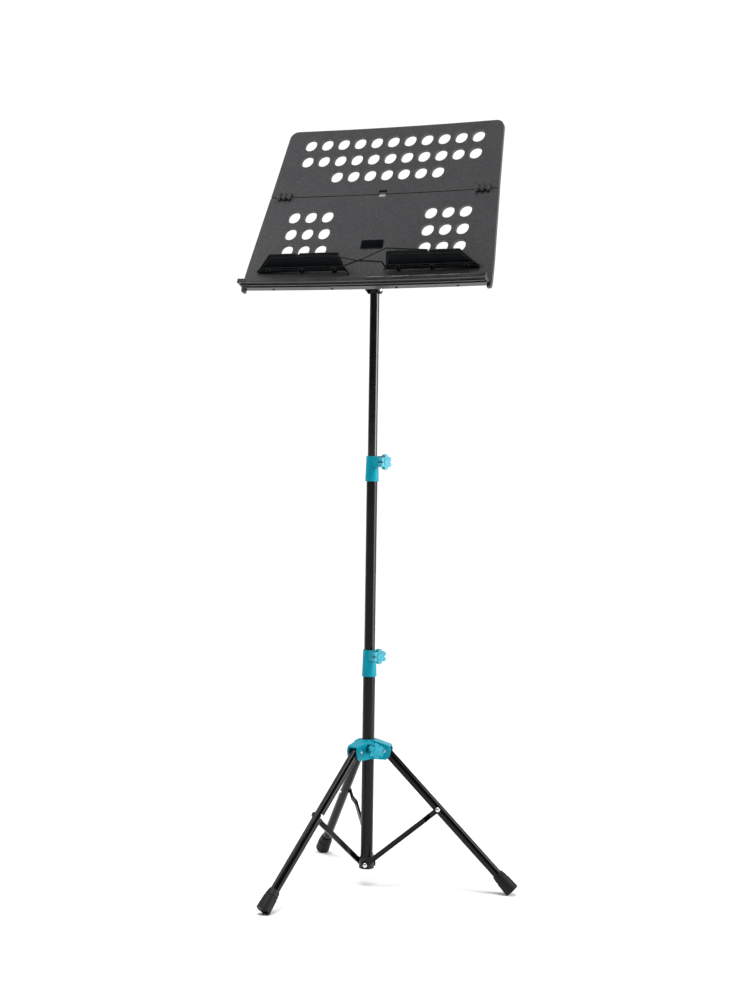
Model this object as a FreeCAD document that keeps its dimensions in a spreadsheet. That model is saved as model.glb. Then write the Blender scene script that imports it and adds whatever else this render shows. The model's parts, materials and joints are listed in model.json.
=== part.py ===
import FreeCAD, Part
import Sketcher
import math
import os

# Folding music stand: a three-section column on a tripod that folds like an
# umbrella, carrying a two-part perforated desk with a book tray.
# Frame: floor at Z = 0, column on the Z axis, the desk faces -Y, millimetres.

Vector = FreeCAD.Vector
Rotation = FreeCAD.Rotation
Placement = FreeCAD.Placement

X_AXIS = Vector(1, 0, 0)
Y_AXIS = Vector(0, 1, 0)
Z_AXIS = Vector(0, 0, 1)
ALONG_X = Rotation(Y_AXIS, 90)
ALONG_Y = Rotation(X_AXIS, -90)
ALONG_MINUS_Y = Rotation(X_AXIS, 90)

DRIVING = (
    # column tubes
    ("base_tube_od", 25.0), ("base_tube_id", 22.6),
    ("base_tube_bottom", 40.0), ("base_tube_top", 455.0),
    ("middle_tube_od", 22.0), ("middle_tube_id", 19.8),
    ("middle_tube_bottom", 395.0), ("middle_tube_top", 850.0),
    ("upper_tube_od", 19.0), ("upper_tube_id", 16.8),
    ("upper_tube_bottom", 790.0), ("upper_tube_top", 1204.0),
    ("slide_gap", 0.05), ("seat_gap", 0.05),
    # clamp collars
    ("lower_collar_bottom", 430.0), ("lower_collar_top", 484.0),
    ("lower_collar_foot_radius", 15.2), ("lower_collar_head_radius", 13.2),
    ("lower_knob_height", 474.0), ("lower_knob_azimuth", -34.0),
    ("upper_collar_bottom", 826.0), ("upper_collar_top", 877.0),
    ("upper_collar_foot_radius", 14.15), ("upper_collar_head_radius", 12.1),
    ("upper_knob_height", 865.5), ("upper_knob_azimuth", -21.0),
    ("bush_wall", 1.2), ("collar_lip", 3.0),
    ("clamp_boss_reach", 27.0), ("clamp_boss_width", 19.0), ("clamp_boss_height", 22.0),
    # star knobs
    ("stud_diameter", 6.0), ("stud_gap", 0.075),
    ("knob_gap", 0.5), ("knob_neck", 3.5), ("knob_thickness", 9.0),
    ("knob_disc_radius", 10.5), ("knob_lobe_radius", 4.6), ("knob_lobe_circle", 11.0),
    ("knob_cap_radius", 7.5), ("knob_cap_height", 1.0),
    # sliding hub
    ("hub_bottom", 263.0), ("hub_top", 302.0), ("hub_core_radius", 16.5),
    ("hub_lobe_width", 28.5), ("hub_slot_width", 20.4), ("hub_slot_start", 18.0),
    ("hub_roof_slope", 0.318), ("hub_roof_thickness", 2.6),
    ("hub_knob_azimuth", -47.4), ("hub_knob_height", 284.7),
    ("hub_boss_radius", 9.0), ("hub_boss_reach", 41.0),
    ("hub_pivot_radius", 36.0), ("hub_pivot_height", 281.2), ("hub_pin_diameter", 6.0),
    # legs and feet
    ("leg_od", 19.0), ("leg_id", 16.6), ("leg_lean", 44.0), ("leg_length", 375.0),
    ("leg_strut_distance", 159.3), ("first_leg_azimuth", 252.6),
    ("foot_length", 45.0), ("foot_end", 379.0), ("foot_collar_radius", 11.5),
    ("foot_radius", 15.0),
    # struts and the bracket at the bottom of the column
    ("strut_pivot_height", 45.7), ("strut_width", 10.5), ("strut_thickness", 4.5),
    ("strut_offset", 14.0), ("strut_eye_radius", 6.2), ("strut_tab", 3.0),
    ("strut_tab_offset", 9.9), ("rivet_diameter", 5.0), ("rivet_head_radius", 4.7),
    ("rivet_head_height", 2.2), ("bracket_bottom", 37.0), ("bracket_top", 60.5),
    ("bracket_radius", 15.5), ("bracket_flat", 13.7),
    # desk: recline and position of the tilt pivot in the desk's own plane
    ("desk_recline", 24.34), ("tilt_height", 1213.0),
    ("tilt_along", -276.4), ("tilt_out", -51.7), ("tilt_bolt_diameter", 6.2),
    ("bend_radius", 7500.0), ("skin", 3.0), ("rim_depth", 8.0), ("rim_wall", 2.5),
    ("fold_along", -87.0), ("fold_out", 6.0), ("knuckle_radius", 4.0),
    ("fold_pin_diameter", 3.0), ("knuckle_start", 203.5), ("knuckle_end", 233.5),
    ("inner_knuckle_radius", 2.8), ("finger_height", 8.0), ("finger_out", 5.7),
    ("finger_tip_radius", 2.3), ("finger_tip_drop", 3.9), ("finger_tip_out", 6.6),
    ("upper_panel_top", 74.0), ("upper_panel_bottom", -85.9),
    ("upper_panel_head", 236.5), ("upper_panel_foot", 251.0), ("upper_corner", 18.0),
    ("lower_panel_top", -88.1), ("lower_panel_bottom", -298.0),
    ("lower_panel_head", 251.5), ("lower_panel_foot", 267.5),
    ("ear_inner", 262.0), ("ear_outer", 271.0), ("ear_bottom", -308.0),
    ("hole_diameter", 28.0), ("hole_collar_radius", 16.0),
    ("hole_pitch", 37.3), ("row_pitch", 39.4),
    ("lower_holes_across", 151.0), ("lower_holes_middle", -173.7),
    ("catch_half_width", 8.5), ("catch_top", -77.5), ("catch_bottom", -101.0),
    ("pad_half_width", 7.0), ("pad_top", -81.3), ("pad_bottom", -91.9), ("pad_back", 5.0),
    ("badge_width", 49.0), ("badge_height", 20.0), ("badge_middle", -203.0),
    # tray
    ("tray_half_width", 268.0), ("tray_bottom", -301.0), ("tray_reach", 28.0),
    ("bead_radius", 2.0), ("bead_low", -300.0), ("bead_high", -294.0),
    # page flaps and page wires
    ("flap_along", -262.5), ("flap_out", 7.5), ("flap_lean", 54.0), ("flap_length", 36.5),
    ("flap_thickness", 2.5), ("flap_start", 44.5), ("flap_end", 241.0),
    ("flap_knuckle_radius", 3.2), ("flap_pin_diameter", 2.4), ("lug_width", 8.0),
    ("wire_diameter", 3.0), ("wire_root", 40.0), ("wire_left_along", -257.0),
    ("wire_right_along", -268.0), ("wire_cap_radius", 5.0), ("wire_cap_height", 3.4),
    # desk bracket
    ("ear_gap", 10.9), ("bracket_sheet", 2.5), ("bracket_head", -135.0),
    ("bracket_foot", -286.4), ("ear_radius", 10.0),
)

doc = FreeCAD.newDocument("MusicStand")
sheet = doc.addObject("Spreadsheet::Sheet", "Dimensions")


class Size:
    """A number together with the spreadsheet expression that drives it."""

    def __init__(self, value, term):
        self.value = value
        self.term = term

    def __add__(self, other):
        return Size(self.value + number(other), "(%s + %s)" % (self.term, term(other)))

    def __radd__(self, other):
        return Size(number(other) + self.value, "(%s + %s)" % (term(other), self.term))

    def __sub__(self, other):
        return Size(self.value - number(other), "(%s - %s)" % (self.term, term(other)))

    def __rsub__(self, other):
        return Size(number(other) - self.value, "(%s - %s)" % (term(other), self.term))

    def __mul__(self, other):
        return Size(self.value * number(other), "(%s * %s)" % (self.term, term(other)))

    def __rmul__(self, other):
        return Size(number(other) * self.value, "(%s * %s)" % (term(other), self.term))

    def __truediv__(self, other):
        return Size(self.value / number(other), "(%s / %s)" % (self.term, term(other)))

    def __neg__(self):
        return Size(-self.value, "(0 - %s)" % self.term)


def number(size):
    return size.value if isinstance(size, Size) else float(size)


def term(size):
    return size.term if isinstance(size, Size) else "(%.6f)" % size


def sine(angle):
    return Size(math.sin(math.radians(number(angle))), "sin(%s * 1 deg)" % term(angle))


def cosine(angle):
    return Size(math.cos(math.radians(number(angle))), "cos(%s * 1 deg)" % term(angle))


class Drive:
    """The driving dimensions, one attribute for each spreadsheet alias."""


d = Drive()
for row, (alias, amount) in enumerate(DRIVING, 1):
    sheet.set("A%d" % row, alias.replace("_", " "))
    sheet.set("B%d" % row, "%g" % amount)
    sheet.setAlias("B%d" % row, alias)
    setattr(d, alias, Size(amount, "Dimensions." + alias))
doc.recompute()


# ---------------------------------------------------------------- helpers

def drive(feature, name, size):
    setattr(feature, name, number(size))
    if isinstance(size, Size):
        feature.setExpression(name, size.term)


def place(feature, x=0, y=0, z=0, turn=Rotation()):
    feature.Placement = Placement(Vector(number(x), number(y), number(z)), turn)
    for axis, size in zip("xyz", (x, y, z)):
        if isinstance(size, Size):
            feature.setExpression("Placement.Base." + axis, size.term)
    return feature


def cylinder(radius, height, x=0, y=0, z=0, turn=Rotation()):
    feature = doc.addObject("Part::Cylinder", "Cylinder")
    drive(feature, "Radius", radius)
    drive(feature, "Height", height)
    return place(feature, x, y, z, turn)


def sphere(radius, x=0, y=0, z=0):
    feature = doc.addObject("Part::Sphere", "Sphere")
    drive(feature, "Radius", radius)
    return place(feature, x, y, z)


def block(x_low, x_high, y_low, y_high, z_low, z_high):
    feature = doc.addObject("Part::Box", "Block")
    drive(feature, "Length", x_high - x_low)
    drive(feature, "Width", y_high - y_low)
    drive(feature, "Height", z_high - z_low)
    return place(feature, x_low, y_low, z_low)


def fuse(*shapes):
    feature = doc.addObject("Part::MultiFuse", "Fuse")
    feature.Shapes = list(shapes)
    return feature


def common(*shapes):
    feature = doc.addObject("Part::MultiCommon", "Common")
    feature.Shapes = list(shapes)
    return feature


def group(*shapes):
    feature = doc.addObject("Part::Compound", "Group")
    feature.Links = list(shapes)
    return feature


def cut(base, *tools):
    feature = doc.addObject("Part::Cut", "Cut")
    feature.Base = base
    feature.Tool = tools[0] if len(tools) == 1 else group(*tools)
    return feature


def carry(feature, placement):
    feature.Placement = placement
    return feature


def about_column(feature, azimuth):
    return carry(group(feature), Placement(Vector(), Rotation(Z_AXIS, number(azimuth))))


def pin_corner(sketch, kind, corner, size):
    if number(size) == 0:
        axis = -2 if kind == "DistanceX" else -1
        sketch.addConstraint(Sketcher.Constraint("PointOnObject", corner, 1, axis))
        return
    index = sketch.addConstraint(Sketcher.Constraint(kind, -1, 1, corner, 1, number(size)))
    if isinstance(size, Size):
        sketch.setExpression("Constraints[%d]" % index, size.term)


def outline(body, role, corners):
    """Closed polygon on one of the body's origin planes."""
    sketch = body.newObject("Sketcher::SketchObject", "Sketch")
    planes = [plane for plane in body.Origin.OriginFeatures if plane.Role == role]
    sketch.AttachmentSupport = (planes[0], "")
    sketch.MapMode = "FlatFace"
    points = [Vector(number(across), number(up), 0) for across, up in corners]
    count = len(points)
    for index, point in enumerate(points):
        sketch.addGeometry(Part.LineSegment(point, points[(index + 1) % count]), False)
    for index in range(count):
        sketch.addConstraint(Sketcher.Constraint("Coincident", index, 2, (index + 1) % count, 1))
    for index, (across, up) in enumerate(corners):
        pin_corner(sketch, "DistanceX", index, across)
        pin_corner(sketch, "DistanceY", index, up)
    return sketch


def prism(role, corners, depth):
    """Polygon padded equally to both sides of its plane."""
    body = doc.addObject("PartDesign::Body", "Body")
    sketch = outline(body, role, corners)
    pad = body.newObject("PartDesign::Pad", "Pad")
    pad.Profile = sketch
    pad.Midplane = True
    drive(pad, "Length", depth)
    return body


def turned(*corners):
    """Solid of revolution about Z from (radius, height) corners."""
    body = doc.addObject("PartDesign::Body", "Body")
    sketch = outline(body, "XZ_Plane", corners)
    revolution = body.newObject("PartDesign::Revolution", "Revolution")
    revolution.Profile = sketch
    revolution.ReferenceAxis = (sketch, ["V_Axis"])
    revolution.Angle = 360
    return body


def ring(inner, outer, low, high):
    return turned((inner, low), (outer, low), (outer, high), (inner, high))


def rounded(body, radius, corners):
    """Round the edges across the thickness that stand at the given corners."""
    doc.recompute()
    pad = body.Tip
    names = []
    for index, edge in enumerate(pad.Shape.Edges, 1):
        middle = edge.CenterOfMass
        for across, up in corners:
            offset = math.hypot(middle.x - number(across), middle.z - number(up))
            if offset < 0.01 and abs(middle.y) < 0.01:
                names.append("Edge%d" % index)
    fillet = body.newObject("PartDesign::Fillet", "Fillet")
    fillet.Base = (pad, names)
    drive(fillet, "Radius", radius)
    return body


def dome(radius, height, x=0, y=0, z=0, turn=Rotation()):
    """Low domed head standing on the local XY plane."""
    ball_radius = (radius * radius + height * height) / (2 * height)
    cap = common(cylinder(radius, height), sphere(ball_radius, z=height - ball_radius))
    return place(cap, x, y, z, turn)


nodes = []


def node(name, feature):
    feature.Label = name
    nodes.append(feature)
    return feature


# ---------------------------------------------------------------- column

base_radius = d.base_tube_od / 2
middle_radius = d.middle_tube_od / 2
upper_radius = d.upper_tube_od / 2
stud_radius = d.stud_diameter / 2
rivet_radius = d.rivet_diameter / 2
leg_azimuths = [d.first_leg_azimuth + 120 * index for index in range(3)]

rivet_bores = [
    about_column(
        cylinder(rivet_radius + 0.05, 14.0, y=-8.0, z=d.strut_pivot_height, turn=ALONG_MINUS_Y),
        azimuth,
    )
    for azimuth in leg_azimuths
]
base_tube = ring(d.base_tube_id / 2, base_radius, d.base_tube_bottom, d.base_tube_top)
node("base_tube", cut(base_tube, *rivet_bores))
node("middle_tube", ring(
    d.middle_tube_id / 2, middle_radius, d.middle_tube_bottom, d.middle_tube_top))
node("upper_tube", ring(
    d.upper_tube_id / 2, upper_radius, d.upper_tube_bottom, d.upper_tube_top))

plug_radius = d.base_tube_id / 2 - d.seat_gap
base_plug = turned(
    (0, d.bracket_bottom), (base_radius, d.bracket_bottom),
    (base_radius, d.base_tube_bottom), (plug_radius, d.base_tube_bottom),
    (plug_radius, d.base_tube_bottom + 18), (0, d.base_tube_bottom + 18),
)
node("base_plug", cut(base_plug, *rivet_bores))

guide_radius = d.base_tube_id / 2 - d.slide_gap
spigot_radius = d.middle_tube_id / 2 - d.seat_gap
node("middle_plug", turned(
    (7, d.middle_tube_bottom - 10), (guide_radius - 1, d.middle_tube_bottom - 10),
    (guide_radius, d.middle_tube_bottom - 9), (guide_radius, d.middle_tube_bottom),
    (spigot_radius, d.middle_tube_bottom), (spigot_radius, d.middle_tube_bottom + 20),
    (7, d.middle_tube_bottom + 20),
))

guide_radius = d.middle_tube_id / 2 - d.slide_gap
spigot_radius = d.upper_tube_id / 2 - d.slide_gap
guide_top = d.upper_tube_bottom - 0.3
node("upper_guide", turned(
    (5.5, guide_top - 12), (guide_radius - 1, guide_top - 12),
    (guide_radius, guide_top - 11), (guide_radius, guide_top),
    (spigot_radius, guide_top), (spigot_radius, guide_top + 22),
    (5.5, guide_top + 22),
))

head_spigot = d.upper_tube_id / 2 - d.seat_gap
tube_head = turned(
    (0, d.upper_tube_top - 20), (head_spigot, d.upper_tube_top - 20),
    (head_spigot, d.upper_tube_top), (10.5, d.upper_tube_top),
    (10.5, d.tilt_height + 6), (7.5, d.tilt_height + 9), (0, d.tilt_height + 9),
)
bolt_bore = cylinder(
    d.tilt_bolt_diameter / 2 + 0.05, 40.0, x=-20.0, z=d.tilt_height, turn=ALONG_X)
node("tube_head", cut(tube_head, bolt_bore))


# ---------------------------------------------------------------- knobs

def star_knob(name, azimuth, seat, height, tip):
    """Six-lobed grip on a threaded stud, both on a level radial axis."""
    frame = Placement(Vector(), Rotation(Z_AXIS, number(azimuth)))
    frame = frame.multiply(Placement(Vector(number(seat), 0, number(height)), ALONG_X))
    face = d.knob_neck + d.knob_thickness
    neck = turned((0, 0), (6.5, 0), (8.5, d.knob_neck + 1), (0, d.knob_neck + 1))
    disc = turned(
        (0, d.knob_neck), (d.knob_disc_radius, d.knob_neck), (d.knob_disc_radius, face),
        (d.knob_cap_radius, face), (d.knob_cap_radius - 1, face + d.knob_cap_height),
        (0, face + d.knob_cap_height),
    )
    lobes = []
    for index in range(6):
        turn = 60 * index
        lobes.append(cylinder(
            d.knob_lobe_radius, d.knob_thickness,
            x=d.knob_lobe_circle * math.cos(math.radians(turn)),
            y=d.knob_lobe_circle * math.sin(math.radians(turn)),
            z=d.knob_neck,
        ))
    bore = cylinder(stud_radius + 0.02, 8.02)
    grip = cut(fuse(neck, disc, *lobes), bore)
    node(name + "_grip", carry(grip, frame))
    stud = ring(0, stud_radius, tip - seat, 8)
    node(name + "_stud", carry(stud, frame))


def clamp(name, bottom, top, foot, head, outer, inner, joint, azimuth, knob_height, boss_low):
    """Collar, split bush and star knob that lock one column tube in the next."""
    seat = outer - 0.25
    lip = inner + 0.4
    shell = turned(
        (outer + d.seat_gap, bottom), (foot - 0.4, bottom), (foot, bottom + 0.8),
        (foot, bottom + 3), (foot - 0.35, bottom + 3.6), (head, top - 0.8),
        (head - 0.6, top), (lip, top), (lip, top - d.collar_lip),
        (seat + d.seat_gap, top - d.collar_lip), (seat + d.seat_gap, joint),
        (outer + d.seat_gap, joint),
    )
    half = d.clamp_boss_width / 2
    boss = rounded(
        prism("XZ_Plane", ((-half, boss_low), (half, boss_low), (half, top), (-half, top)),
              2 * (d.clamp_boss_reach)),
        2.5, ((-half, boss_low), (half, boss_low), (half, top), (-half, top)),
    )
    front = block(-20, 20, 8, 60, boss_low - 5, top + 5)
    arm = carry(cut(common(boss, block(-20, 20, -60, 0, boss_low - 5, top + 5)), front),
                Placement(Vector(), Rotation(Z_AXIS, number(azimuth) + 90)))
    bore = cylinder(outer + d.seat_gap, 200, z=joint - 200)
    chamber = cylinder(seat + d.seat_gap, top - d.collar_lip - joint + 0.5, z=joint - 0.5)
    throat = cylinder(lip, 40, z=top - 20)
    stud_bore = about_column(
        cylinder(stud_radius + d.stud_gap, 30, x=6, z=knob_height, turn=ALONG_X), azimuth)
    node(name + "_collar", cut(fuse(shell, arm), bore, chamber, throat, stud_bore))
    node(name + "_bush", ring(inner + d.slide_gap, seat, joint, top - d.collar_lip))
    star_knob(name + "_knob", azimuth, d.clamp_boss_reach + d.knob_gap, knob_height, seat + 0.4)


clamp("lower", d.lower_collar_bottom, d.lower_collar_top, d.lower_collar_foot_radius,
      d.lower_collar_head_radius, base_radius, middle_radius, d.base_tube_top,
      d.lower_knob_azimuth, d.lower_knob_height, d.lower_collar_top - d.clamp_boss_height)
clamp("upper", d.upper_collar_bottom, d.upper_collar_top, d.upper_collar_foot_radius,
      d.upper_collar_head_radius, middle_radius, upper_radius, d.middle_tube_top,
      d.upper_knob_azimuth, d.upper_knob_height, d.upper_collar_top - d.clamp_boss_height)


# ---------------------------------------------------------------- hub

roof_edge = d.hub_pivot_radius + 10
roof_edge_height = d.hub_top - 10.5
shell_core = turned(
    (0, d.hub_bottom), (d.hub_core_radius, d.hub_bottom), (d.hub_core_radius, d.hub_top - 12),
    (24, d.hub_top - 8), (15.5, d.hub_top), (0, d.hub_top),
)
lobes = []
slots = []
pin_bores = []
pins = []
for azimuth in leg_azimuths:
    turn = Placement(Vector(), Rotation(Z_AXIS, number(azimuth)))
    lobe = prism("XZ_Plane", (
        (8, d.hub_bottom), (40, d.hub_bottom), (47, d.hub_bottom + 7),
        (roof_edge + 3, d.hub_bottom + 20), (roof_edge, roof_edge_height),
        (13, d.hub_top), (8, d.hub_top),
    ), d.hub_lobe_width)
    lobes.append(carry(lobe, turn))
    under = roof_edge_height - d.hub_roof_thickness
    slot = prism("XZ_Plane", (
        (d.hub_slot_start, d.hub_bottom - 10), (60, d.hub_bottom - 10),
        (60, under - d.hub_roof_slope * (60 - roof_edge)),
        (d.hub_slot_start, under + d.hub_roof_slope * (roof_edge - d.hub_slot_start)),
    ), d.hub_slot_width)
    slots.append(carry(slot, turn))
    pin_length = d.hub_lobe_width + 0.6
    pin_bores.append(about_column(cylinder(
        d.hub_pin_diameter / 2 + 0.02, 60, x=d.hub_pivot_radius, y=-30,
        z=d.hub_pivot_height, turn=ALONG_Y), azimuth))
    pins.append(about_column(cylinder(
        d.hub_pin_diameter / 2, pin_length, x=d.hub_pivot_radius, y=-pin_length / 2,
        z=d.hub_pivot_height, turn=ALONG_Y), azimuth))

hub_boss = about_column(cylinder(
    d.hub_boss_radius, d.hub_boss_reach - 10, x=10, z=d.hub_knob_height, turn=ALONG_X),
    d.hub_knob_azimuth)
hub_stud_bore = about_column(cylinder(
    stud_radius + d.stud_gap, 40, x=8, z=d.hub_knob_height, turn=ALONG_X),
    d.hub_knob_azimuth)
hub_bore = cylinder(base_radius + d.slide_gap, 80, z=d.hub_bottom - 20)
node("hub", cut(fuse(shell_core, hub_boss, *lobes), hub_bore, hub_stud_bore, *slots, *pin_bores))
node("hub_pins", group(*pins))
star_knob("hub_knob", d.hub_knob_azimuth, d.hub_boss_reach + d.knob_gap, d.hub_knob_height,
          base_radius + 0.45)


# ---------------------------------------------------------------- tripod

leg_radius = d.leg_od / 2
pivot_reach = d.hub_pivot_radius + d.leg_strut_distance * sine(d.leg_lean)
pivot_drop = d.hub_pivot_height - d.leg_strut_distance * cosine(d.leg_lean)
strut_rise = number(pivot_drop - d.strut_pivot_height)
strut_lean = math.degrees(math.atan2(number(pivot_reach), strut_rise))
strut_length = pivot_reach / Size(math.sin(math.radians(strut_lean)), "%.9f" % math.sin(
    math.radians(strut_lean)))


def crown(radius):
    """Everything above a rounded end of the given radius about the leg pin."""
    return cut(block(-30, 30, -30, 30, 0, 40),
               cylinder(radius, 80, y=-40, turn=ALONG_Y))


def cross_bore(radius, height):
    return cylinder(radius, 60, y=-30, z=height, turn=ALONG_Y)


rivets = []
for index, azimuth in enumerate(leg_azimuths, 1):
    turn = Placement(Vector(), Rotation(Z_AXIS, number(azimuth)))
    pivot = Placement(Vector(number(d.hub_pivot_radius), 0, number(d.hub_pivot_height)),
                      Rotation(Y_AXIS, -number(d.leg_lean)))
    leg_frame = turn.multiply(pivot)
    foot_pivot = Placement(Vector(0, 0, number(d.strut_pivot_height)),
                           Rotation(Y_AXIS, strut_lean))
    strut_frame = turn.multiply(foot_pivot)
    pin_bore = d.hub_pin_diameter / 2 + 0.05

    leg = ring(d.leg_id / 2, leg_radius, -d.leg_length, 12)
    leg = cut(leg, crown(leg_radius), cross_bore(pin_bore, 0),
              cross_bore(rivet_radius + 0.05, -d.leg_strut_distance))
    node("leg_tube_%d" % index, carry(leg, leg_frame))

    plug = cylinder(d.leg_id / 2 - d.seat_gap, 26, z=-14)
    plug = cut(plug, crown(leg_radius - 0.4), cross_bore(pin_bore, 0))
    node("leg_plug_%d" % index, carry(plug, leg_frame))

    end = -d.foot_end
    foot = turned(
        (0, end), (d.foot_radius - 1, end), (d.foot_radius, end + 1.5),
        (d.foot_radius - 0.5, end + 15), (d.foot_radius - 1, end + 29),
        (d.foot_radius - 2.4, end + 30), (d.foot_radius - 2.4, end + 31.5),
        (d.foot_radius - 1.5, end + 32.5), (d.foot_collar_radius, end + d.foot_length),
        (leg_radius + d.seat_gap, end + d.foot_length),
        (leg_radius + d.seat_gap, -d.leg_length - 0.0), (0, -d.leg_length),
    )
    carry(foot, leg_frame)
    floor = block(-600, 600, -600, 600, -60, 0)
    node("foot_%d" % index, cut(foot, floor))

    bolt = cylinder(rivet_radius, 2 * leg_radius - 0.05, y=0.05 - leg_radius,
                    z=-d.leg_strut_distance, turn=ALONG_Y)
    head = dome(d.rivet_head_radius, d.rivet_head_height, y=leg_radius,
                z=-d.leg_strut_distance, turn=ALONG_Y)
    node("leg_rivet_%d" % index, carry(fuse(bolt, head), leg_frame))

    low = -d.strut_offset
    outside = low - d.strut_thickness
    tab = -d.strut_tab_offset
    tab_outside = tab - d.strut_tab
    over = d.strut_eye_radius + 1
    bar = prism("YZ_Plane", (
        (low, -over), (low - 3.5, -over), (low - 3.5, 12), (outside, 15),
        (outside, strut_length - 33), (tab_outside, strut_length - 20),
        (tab_outside, strut_length + over), (tab, strut_length + over),
        (tab, strut_length - 21), (low, strut_length - 34),
    ), 2 * d.strut_eye_radius)
    half = d.strut_width / 2
    plan = fuse(
        block(-half, half, -30, 0, 0, strut_length),
        cylinder(d.strut_eye_radius, 30, turn=ALONG_MINUS_Y),
        cylinder(d.strut_eye_radius, 30, z=strut_length, turn=ALONG_MINUS_Y),
    )
    groove = block(-2.6, 2.6, outside - 2, outside + 1.2, 16, strut_length - 36)
    strut = cut(common(bar, plan), groove, cross_bore(rivet_radius + 0.05, 0),
                cross_bore(rivet_radius + 0.05, strut_length))
    node("strut_%d" % index, carry(strut, strut_frame))

    bolt = cylinder(rivet_radius, d.strut_tab, y=tab, z=strut_length, turn=ALONG_MINUS_Y)
    head = dome(d.rivet_head_radius, d.rivet_head_height, y=tab_outside, z=strut_length,
                turn=ALONG_MINUS_Y)
    node("strut_rivet_%d" % index, carry(fuse(bolt, head), strut_frame))

    bolt = cylinder(rivet_radius, d.strut_offset + 3.8 - 8.5, y=-8.5,
                    z=d.strut_pivot_height, turn=ALONG_MINUS_Y)
    head = dome(d.rivet_head_radius, d.rivet_head_height, y=low - 3.8,
                z=d.strut_pivot_height, turn=ALONG_MINUS_Y)
    rivets.append(carry(fuse(bolt, head), turn))

node("bracket_rivets", group(*rivets))

ferrule = turned(
    (base_radius + d.seat_gap, d.bracket_bottom), (d.bracket_radius - 0.8, d.bracket_bottom),
    (d.bracket_radius, d.bracket_bottom + 0.8), (d.bracket_radius, d.bracket_top - 3.5),
    (base_radius + 0.9, d.bracket_top), (base_radius + d.seat_gap, d.bracket_top),
)
flats = []
for azimuth in leg_azimuths:
    flat = block(-30, 30, -30, -d.bracket_flat, 30, 70)
    flats.append(about_column(flat, azimuth))
node("base_bracket", cut(ferrule, *flats, *rivet_bores))


# ---------------------------------------------------------------- desk
# Desk frame: X across, Z up along the panel, -Y out of the front face.

sin_recline = sine(d.desk_recline)
cos_recline = cosine(d.desk_recline)
desk_frame = Placement(
    Vector(
        0,
        number(d.tilt_out * cos_recline - d.tilt_along * sin_recline),
        number(d.tilt_height - d.tilt_along * cos_recline - d.tilt_out * sin_recline),
    ),
    Rotation(X_AXIS, -number(d.desk_recline)),
)


def desk_node(name, feature):
    return node(name, carry(feature, desk_frame))


def curved_slab(front, back, low, high, half_width):
    """Bent plate between two offsets out of the desk's front face."""
    outer = cylinder(d.bend_radius - back, high - low, y=-d.bend_radius, z=low)
    inner = cylinder(d.bend_radius - front, high - low + 2, y=-d.bend_radius, z=low - 1)
    window = block(-half_width, half_width, -80, 40, low, high)
    return cut(common(outer, window), inner)


def bend_at(across):
    return number(across) ** 2 / (2 * number(d.bend_radius))


def out_rod(radius, back, front, across, along):
    """Rod square to the desk between two offsets out of the face."""
    return cylinder(radius, front - back, x=across, y=-back, z=along, turn=ALONG_MINUS_Y)


def across_rod(radius, start, end, out, along):
    return cylinder(radius, end - start, x=start, y=-out, z=along, turn=ALONG_X)


def hole_centres(columns, rows, middle_across, middle_along):
    centres = []
    for row in rows:
        for column in columns:
            centres.append((middle_across + column * d.hole_pitch,
                            middle_along + row * d.row_pitch))
    return centres


def panel(corners, inset, low, high, holes, stiffeners):
    """Bent panel with a rim, collared holes and stiffeners on its back."""
    plate = common(corners, curved_slab(0, -d.rim_depth, low, high, 275))
    collars = [out_rod(d.hole_collar_radius, -30, 20, *centre) for centre in holes]
    hollow = cut(common(inset, curved_slab(-d.skin, -20, low, high, 275)),
                 *(collars + stiffeners))
    bores = [out_rod(d.hole_diameter / 2, -30, 20, *centre) for centre in holes]
    return cut(cut(plate, hollow), *bores)


wall = d.rim_wall
thick = 60
knuckle_width = (d.knuckle_end - d.knuckle_start) / 5
gap = 0.4
knuckle_gap = 0.6
finger_sweep = 6.8


def knuckle_span(side, step, spare):
    """Across range of one of the five knuckles of a hinge, widened by spare at each end."""
    near = d.knuckle_start + step * knuckle_width - spare
    far = near + knuckle_width + 2 * spare
    return (near, far) if side > 0 else (-far, -near)


# upper panel
head = d.upper_panel_head
foot = d.upper_panel_foot
top = d.upper_panel_top
bottom = d.upper_panel_bottom
upper_outline = rounded(
    prism("XZ_Plane", ((-foot, bottom), (foot, bottom), (head, top), (-head, top)), thick),
    d.upper_corner, ((head, top), (-head, top)))
upper_inset = rounded(
    prism("XZ_Plane", (
        (wall - foot, bottom + wall), (foot - wall, bottom + wall),
        (head - wall, top - wall), (wall - head, top - wall)), thick),
    d.upper_corner - wall, ((head - wall, top - wall), (wall - head, top - wall)))
upper_holes = hole_centres(range(-5, 6), (1, 0), 0, Size(0, "0"))
upper_holes += hole_centres(range(-3, 4), (-1,), 0, Size(0, "0"))
catch_wall = block(-13, 13, -30, 30, bottom, d.catch_top + 4.5)
upper_plate = panel(upper_outline, upper_inset, bottom, top, upper_holes, [catch_wall])
catch_half = d.catch_half_width
catch_slot = block(-catch_half - 0.4, catch_half + 0.4, -30, 30, bottom - 2,
                   d.catch_top + 0.4)
leaves = []
reliefs = [catch_slot]
pin_bores = []
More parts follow.
